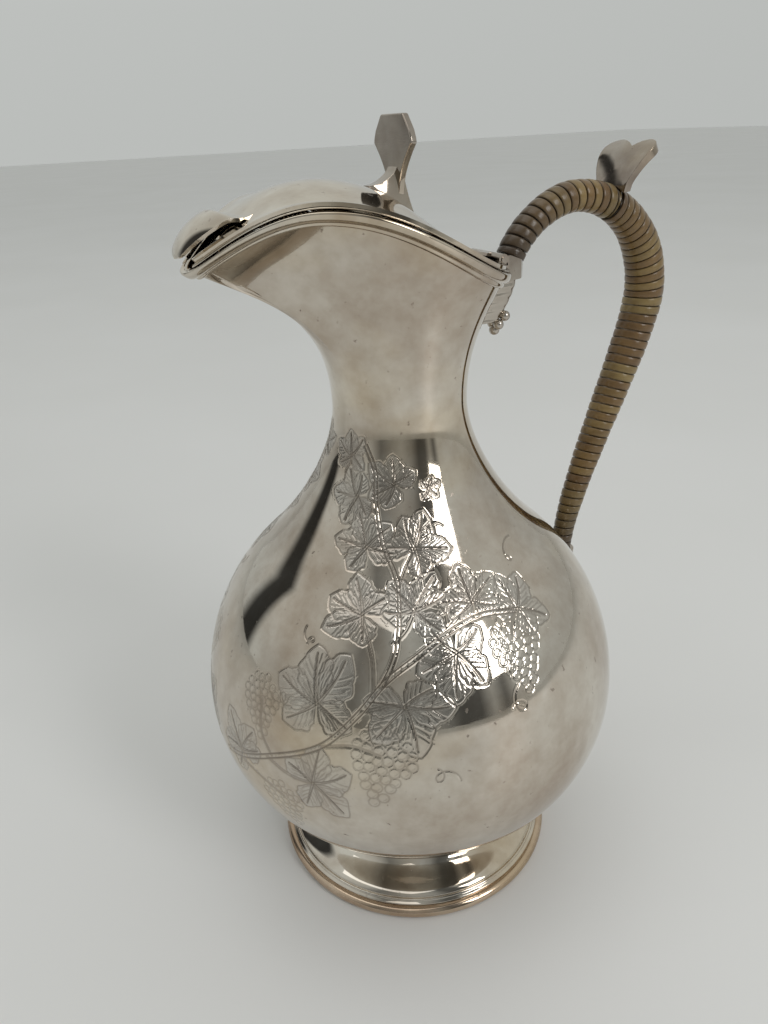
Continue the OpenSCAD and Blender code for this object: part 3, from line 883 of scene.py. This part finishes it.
def lid_point(row, side, k):
    x, w = plan(row)
    y = w * math.sin(math.pi / 2 * k / LID_COLUMNS)
    return (x, side * y, lid_z(x, y, w))


def lid_skin():
    """The raised lid: a domed middle, a flat flange, and two rails beside the open slot."""
    verts, faces = [], []
    rows = list(np.linspace(FIRST_ROW, SLOT_ROW, 70))
    for row in rows:
        verts += [lid_point(row, -1, k) for k in range(LID_COLUMNS, 0, -1)]
        verts += [lid_point(row, 1, k) for k in range(LID_COLUMNS + 1)]
    width = 2 * LID_COLUMNS + 1
    faces += ring_faces(len(rows), width, wrap_cols=False)
    last = (len(rows) - 1) * width
    slot_rows = np.linspace(SLOT_ROW, LAST_ROW, 25)[1:]
    reach = plan(SLOT_ROW)[1] - RAIL_W[0] - RAIL_ROOT
    rail_k = [k for k in range(LID_COLUMNS + 1) if lid_point(SLOT_ROW, 1, k)[1] >= reach]
    for side in (-1, 1):
        previous = [last + LID_COLUMNS + side * k for k in rail_k]
        for row in slot_rows:
            x, w = plan(row)
            inner = w - mix(*RAIL_W, (row - SLOT_ROW) / (LAST_ROW - SLOT_ROW))
            ids = []
            for n, k in enumerate(rail_k):
                y = mix(inner, w, n / (len(rail_k) - 1))
                ids.append(len(verts))
                verts.append((x, side * y, lid_z(x, y, w)))
            for n in range(len(rail_k) - 1):
                quad = [previous[n], previous[n + 1], ids[n + 1], ids[n]]
                faces.append(quad if side > 0 else quad[::-1])
            previous = ids
    piece = make_piece("lid_skin", verts, faces, PLATE, "lid", ("lid_shell",), outward=False)
    thicken(piece, LID_T)
    return bevel(piece, LID_EDGE_R, 3)


def spout_hood_skin():
    """The cowl over the spout: it grows out of the dome, overhangs the slot and ends in a blunt beak."""
    grid = []
    for k in range(-4, HOOD_STEPS + 1):
        row = []
        if k < 0:
            t, back = 0.0, -k * 0.8
        else:
            t, back = k / HOOD_STEPS, 0.0
        x, mid = bez(((HOOD_ROOT_X, 247.2), (-54, 248.2), (-63.5, 243.8), (HOOD_TIP_X, 235.6)), t)
        low = bez(((HOOD_ROOT_X, 246.8), (-52.5, 244.6), (-62, 240.8), (HOOD_TIP_X, 234.8)), t)[1]
        x += back
        half = mix(8.8, 10, ease(t / 0.3)) * math.cos(math.pi / 2 * t**1.8) ** 0.6 + 0.4 if t < 1 else 0.4
        w = np.interp(-x, [-plan(s)[0] for s in np.arange(12, 29)], [plan(s)[1] for s in np.arange(12, 29)])
        for j in range(-HOOD_HALF_COLUMNS, HOOD_HALF_COLUMNS + 1):
            u = math.sin(math.pi / 2 * j / HOOD_HALF_COLUMNS)
            y = half * u
            own = mix(mid, low, abs(u) ** 2)
            lid = lid_z(x, y, max(w, abs(y) + 1))
            sunk = lid - 0.15 * (1 - clamp01(t / 0.02)) - 0.25 * (back > 0)
            row.append((x, y, mix(sunk, own, ease(t / mix(0.42, 0.34, u * u)))))
        grid.append(row)
    verts = [p for row in grid for p in row]
    faces = ring_faces(len(grid), 2 * HOOD_HALF_COLUMNS + 1, wrap_cols=False)
    piece = make_piece("spout_hood_skin", verts, faces, PLATE, "lid", ("spout_hood",),
                       outward=False)
    thicken(piece, LID_T)
    return bevel(piece, HOOD_EDGE_R, 3)


def lid_edge_skin():
    """The wire under the lid's edge, in one run along each side."""
    section = ((-1.8, 0.05), (0.3, 0.0), (0.65, 0.06), (0.8, 0.22), (0.8, 0.32), (0.6, 0.46), (-1.8, 0.46))
    runs = []
    for side in (-1, 1):
        rings = []
        for row in np.linspace(FIRST_ROW, LAST_ROW, 90):
            p, out = plan(row), plan_out(row)
            ring = []
            for o, h in section:
                x, y = p[0] + o * out[0], p[1] + o * out[1]
                ring.append((x, side * y, rim_z(x) + LID_GAP + h))
            rings.append(ring[::side])
        runs.append(loft(rings))
    verts, faces = joined(runs)
    return make_piece("lid_edge_skin", verts, faces, PLATE, "lid", ("lid_edge_wire",))


# ---- thumbpiece

BLADE_X, BLADE_T = 0.45, 2.1
STEM_FRONT, STEM_BACK, STEM_END = -8.4, 2.3, 6.0
FRONT_SWEEP = ((STEM_FRONT, 248.5), (-4, 248.6), (-0.9, 249.4), (BLADE_X + 0.2, 253))
BACK_SWEEP = ((STEM_BACK, 252.4), (2.5, 246), (3.4, 242.2), (STEM_END, 239.0))


def thumbpiece_skin():
    """A flat six-sided paddle on a stem that flares to a concave foot along the dome."""
    flare = [tuple(bez(((2.9, 244), (3.0, 249), (4.4, 252.6), (10.6, 259)), k / 10)) for k in range(11)]
    half = flare + [(10.4, 260.2), (9.4, 262.4), (6.4, 266.1), (5.9, 266.5)]
    outline = half + [(-y, z) for y, z in half[::-1]]
    front = [(BLADE_X, y, z) for y, z in outline]
    back = [(BLADE_X + BLADE_T, y, z) for y, z in outline]
    verts, faces = loft([front, back])
    blade = make_piece("thumbpiece_blade", verts, faces, CAST, "lid", ("thumbpiece",))
    bevel(blade, 0.45, 4)

    def top(x):
        if x < BLADE_X:
            return bez(FRONT_SWEEP, clamp01((x - STEM_FRONT) / 9.2))[1]
        if x < STEM_BACK:
            return 253.0
        return bez(BACK_SWEEP, clamp01((x - STEM_BACK) / 3.7))[1]

    stations = [*np.linspace(STEM_FRONT, BLADE_X, 16), 1.0, 1.9, *np.linspace(STEM_BACK, STEM_END, 12)]
    rings = []
    for x in stations:
        floor = lid_z(x, 0, 30) - 0.25
        high = max(top(x), floor + 0.5)
        wide = mix(2.0, 3.0, clamp01((x - STEM_FRONT) / 5)) + 0.7 * max(0, (x - STEM_BACK) / 3.7)
        foot = wide + 0.5
        mid = mix(floor, high, 0.35)
        rings.append([(x, -foot, floor), (x, -wide, mid), (x, -wide * 0.86, high), (x, 0, high + 0.05),
                      (x, wide * 0.86, high), (x, wide, mid), (x, foot, floor), (x, 0, floor)])
    verts, faces = loft(rings)
    stem = make_piece("thumbpiece_foot", verts, faces, CAST, "lid")
    return bevel(stem, 0.35, 3, 40)


# ---- hinge, sockets and drop

# how far each fitting's edges are eased; the core under the cane keeps its own
EASED = {"lid_hinge_leaf": 0.18, "body_hinge_knuckles": 0.12, "hinge_pin": 0.15,
         "upper_handle_socket": 0.55, "lower_handle_socket": 0.3, "handle_core": 0}


def dress_nodes():
    """Fittings whose own shape is right keep it, with their edges eased and the cast finish."""
    for name, width in EASED.items():
        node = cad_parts[name]
        node.data.materials.clear()
        node.data.materials.append(CAST)
        if width:
            bevel(node, width, 3, 30)


def ball(centre, r, rows=16, cols=24):
    """A bead as rings from its bottom to its top."""
    rings = []
    for k in range(1, rows):
        a = math.pi * k / rows
        level = []
        for b in np.linspace(0, 2 * math.pi, cols + 1)[:-1]:
            level.append((centre[0] + r * math.sin(a) * math.cos(b),
                          centre[1] + r * math.sin(a) * math.sin(b), centre[2] - r * math.cos(a)))
        rings.append(level)
    return loft(rings)


BEADS = ((40.6, -1.9, 205), (40.6, 1.9, 205), (38.2, -1.7, 202.4), (38.2, 1.7, 202.4), (37.8, 0, 200.4))
BEAD_R = 1.78
DROP_TOP, DROP_END, DROP_HALF_W = 217.3, 203.6, (3.6, 2.3)


def soft_square(wave):
    """A wave pushed outward, so that a section drawn with it is a square with round corners."""
    return math.copysign(abs(wave) ** 0.6, wave)


def handle_drop_skin():
    """The cast drop against the neck: a ribbed leaf that narrows to a cluster of five beads."""
    rings = []
    for k in range(25):
        t = k / 24
        z = mix(DROP_TOP, DROP_END, t)
        back = np.interp(z, (203.4, 206, 210, 214, 217.3), (27.4, 28.1, 29.3, 30.8, 32.2))
        front = bez(((45.4, 217.3), (44.8, 211.5), (42.6, 208.5), (38.6, 203.4)), t)[0]
        half = mix(*DROP_HALF_W, ease(t)) * (1 + 0.05 * math.cos(10 * math.pi * t))
        ring = []
        for j in range(20):
            a = 2 * math.pi * j / 20
            x = (front + back) / 2 + (front - back) / 2 * soft_square(math.cos(a))
            rib = 1 - 0.13 * (abs(math.cos(a)) > 0.8) * abs(math.sin(a))
            ring.append((x, half * rib * soft_square(math.sin(a)), z))
        rings.append(ring)
    verts, faces = joined([loft(rings)] + [ball(centre, BEAD_R) for centre in BEADS])
    return make_piece("handle_drop_skin", verts, faces, CAST, "jug", ("handle_drop",))


# ---- handle

CANE_PITCH, CANE_SEGMENTS = 3.15, 26


def path_table():
    s = np.linspace(0, 3, 1201)
    pts = np.array([grip_point(v) for v in s])
    return s, np.concatenate([[0], np.cumsum(np.linalg.norm(np.diff(pts, axis=0), axis=1))])


def cane_skin(name, node, s0, s1, darkness):
    """One strand of split cane wound edge to edge round the handle."""
    table_s, table_l = path_table()
    l0, l1 = np.interp((s0, s1), table_s, table_l)
    turns = round((l1 - l0) / CANE_PITCH)
    pitch = (l1 - l0) / turns
    steps = turns * CANE_SEGMENTS
    across = (-1, -0.96, -0.9, -0.8, -0.4, 0.0, 0.4, 0.8, 0.9, 0.96, 1)
    rings, marks = [], []
    for k in range(steps + 1):
        turn = k / CANE_SEGMENTS
        angle = 2 * math.pi * turn
        middle = l0 + pitch * (turn * (turns + 1) / turns - 0.5)
        strand = int(turn + 0.5)
        lift = 0.05 * math.sin(7.3 * strand) + 0.03 * math.sin(angle * 0.37)
        ring, mark = [], []
        section = [(u, 0) for u in across] + [(0.97, 1), (-0.97, 1)]
        for u, under in section:
            run = middle + u * pitch * 0.492
            s = float(np.interp(min(max(run, l0), l1), table_l, table_s))
            p, d, r = grip_point(s), grip_dir(s), grip_r(s)
            fall = 0.12 * u * u + 0.42 * max(0, (abs(u) - 0.8) / 0.2) ** 2
            height = r - CANE_T if under else r - 0.1 + lift - fall
            ring.append((p[0] + height * math.cos(angle) * d[2], height * math.sin(angle),
                         p[2] - height * math.cos(angle) * d[0]))
            tone = 0.5 + 0.5 * math.sin(12.9898 * strand + 4.1 * math.sin(strand * 1.7))
            mark.append((tone, darkness(s, run - l0, l1 - run), u, turn * 2 * math.pi * r))
        rings.append(ring)
        marks += mark
    verts, faces = loft(rings)
    piece = make_piece(name, verts, faces, CANE, "jug", (node,))
    write_marks(piece, ("strip", "dark", "across", "along"), marks)
    return piece


def arch_dark(s, from_start, to_end):
    return max(clamp01(1.0 - from_start / 34), 0.35 * clamp01(1 - to_end / 8))


def side_dark(s, from_start, to_end):
    return max(clamp01(1.0 - to_end / 34), 0.35 * clamp01(1 - from_start / 8))


HEART_HALF = ((0, -0.6), (6.3, -1.6), (7.2, 2.0), (8.6, 5.5), (9.8, 9.2), (11.0, 14.0), (10.9, 16.8),
              (9.2, 19.0), (6.2, 20.0), (2.6, 18.9), (0, 17.4))
HEART_T, HEART_DISH = 2.9, 1.3
HEART_BEND = ((0, 0), (-0.1, 6.2), (3.6, 11.6), (11.6, 14.9))


def thumb_rest_skin():
    """The heart-shaped rest: a thick plate that leans back as it rises, with a dished front."""
    half = [np.array(p, float) for p in HEART_HALF]
    outline = half + [p * (-1, 1) for p in half[-2:0:-1]]
    edge = smooth_closed(outline, 5, sharp=(0, 1, len(half) - 1, 2 * len(half) - 3))
    middle = np.array((0.0, 10.2))
    base = grip_point(REST_S) + (-0.2, 0, grip_r(REST_S) - 0.7)
    levels = (1.0, 0.97, 0.93, 0.88, 0.75, 0.6, 0.45, 0.3, 0.15)

    def place(p, depth):
        t = p[1] / 21.0
        at, near = bez(HEART_BEND, t), bez(HEART_BEND, t + 0.01)
        way = unit(near - at)
        return base + (at[0] + depth * way[1], p[0], at[1] - depth * way[0])

    def dish(p):
        return HEART_DISH * max(0.0, 1 - (p[0] / 10.5) ** 2 - ((p[1] - 9.5) / 10) ** 2)

    def shrunk(t):
        return [middle + (p - middle) * t for p in edge]

    rings = [[place(p, HEART_T + 0.5 * (1 - t)) for p in shrunk(t)] for t in levels[::-1]]
    rings += [[place(p, dish(p)) for p in shrunk(t)] for t in levels]
    verts, faces = loft(rings)
    piece = make_piece("thumb_rest_skin", verts, faces, CAST, "jug", ("thumb_rest",))
    return bevel(piece, 0.45, 4, 50)


# ---- studio

CAMERA_PLACE = Vector((-0.0068, -0.2414, 0.2635))
CAMERA_PITCH, CAMERA_ROLL, CAMERA_TURN = math.radians(26.63), math.radians(-2.77), math.radians(-28)
SENSOR, LENS = 36.0, 27.04


def camera():
    data = bpy.data.cameras.new("camera")
    data.sensor_width, data.lens, data.clip_start = SENSOR, LENS, 0.01
    cam = bpy.data.objects.new("camera", data)
    bpy.context.scene.collection.objects.link(cam)
    forward = Vector((0, math.cos(CAMERA_PITCH), -math.sin(CAMERA_PITCH)))
    right = Vector((1, 0, 0))
    up = right.cross(forward)
    tilted = math.cos(CAMERA_ROLL) * right + math.sin(CAMERA_ROLL) * up
    top = math.cos(CAMERA_ROLL) * up - math.sin(CAMERA_ROLL) * right
    spin = Matrix.Rotation(CAMERA_TURN, 3, "Z")
    axes = Matrix((spin @ tilted, spin @ top, spin @ -forward)).transposed()
    cam.matrix_world = Matrix.Translation(spin @ CAMERA_PLACE) @ axes.to_4x4()
    bpy.context.scene.camera = cam


def floor(size=12.0):
    mesh = bpy.data.meshes.new("floor")
    corners = [(x * size, y * size, 0) for x, y in ((-1, -1), (1, -1), (1, 1), (-1, 1))]
    mesh.from_pydata(corners, [], [(0, 1, 2, 3)])
    mesh.materials.append(FLOOR)
    top = bpy.data.objects.new("floor", mesh)
    bpy.context.scene.collection.objects.link(top)


def soft_light(name, azimuth, elevation, distance, size, power):
    a, e = math.radians(azimuth), math.radians(elevation)
    away = Vector((math.cos(a) * math.cos(e), math.sin(a) * math.cos(e), math.sin(e)))
    data = bpy.data.lights.new(name, "AREA")
    data.shape, data.energy = "RECTANGLE", power
    data.size, data.size_y = size
    lamp = bpy.data.objects.new(name, data)
    lamp.location = Vector((0, 0, 0.12)) + away * distance
    lamp.rotation_mode = "QUATERNION"
    lamp.rotation_quaternion = away.to_track_quat("Z", "Y")
    bpy.context.scene.collection.objects.link(lamp)


# lightness of the studio's wall, by turn (half a turn is +X, a quarter less is -Y) and by height
SURROUND = (
    (0.0, 0.62), (0.04, 0.50), (0.08, 0.20), (0.13, 0.34), (0.17, 0.42), (0.21, 0.30), (0.24, 0.10),
    (0.27, 0.12), (0.29, 0.45), (0.31, 0.16), (0.33, 0.60), (0.42, 0.62), (0.50, 0.62),
    (0.75, 0.66), (0.83, 0.62), (0.85, 0.05), (0.88, 0.04), (0.895, 0.66), (1.0, 0.62),
)
SURROUND_UP = ((0.0, 0.78), (0.12, 0.80), (0.4, 1.0))
PALE_TINT = 0.985


def surroundings():
    """A pale studio: lighter above, dimmer behind the viewer, with dark flags at the sides."""
    world = bpy.data.worlds.new("studio")
    bpy.context.scene.world = world
    world.use_nodes = True
    tree = world.node_tree
    back = tree.nodes["Background"]
    way = tree.nodes.new("ShaderNodeTexCoord").outputs["Generated"]
    turn = tree.nodes.new("ShaderNodeTexGradient")
    turn.gradient_type = "RADIAL"
    tree.links.new(way, turn.inputs["Vector"])

    def pale(stops):
        return [(at, (v * PALE_TINT, v, v * PALE_TINT)) for at, v in stops]

    band = add_ramp(tree, turn.outputs["Fac"], pale(SURROUND))
    split = tree.nodes.new("ShaderNodeSeparateXYZ")
    tree.links.new(way, split.inputs[0])
    height = add_ramp(tree, split.outputs["Z"], pale(SURROUND_UP))
    blend = tree.nodes.new("ShaderNodeMix")
    blend.data_type, blend.blend_type = "RGBA", "MULTIPLY"
    blend.inputs[0].default_value = 1.0
    tree.links.new(band, blend.inputs[6])
    tree.links.new(height, blend.inputs[7])
    tree.links.new(blend.outputs[2], back.inputs["Color"])
    back.inputs["Strength"].default_value = 1.0


camera()
floor()
surroundings()
soft_light("window", 288, 30, 1.9, (0.5, 0.95), 10)
soft_light("ceiling", 200, 78, 2.2, (2.0, 2.0), 10)
bpy.context.scene.view_settings.view_transform = "Standard"

body_skin()
mouth_band_skin()
foot_skirt_skin()
foot_step_skin()
foot_base_skin()
lid_skin()
spout_hood_skin()
lid_edge_skin()
thumbpiece_skin()
dress_nodes()
handle_drop_skin()
cane_skin("cane_arch", "cane_wrap_arch", 0.0, REST_S - REST_GAP, arch_dark)
cane_skin("cane_side", "cane_wrap_side", REST_S + REST_GAP, 2.95, side_dark)
thumb_rest_skin()
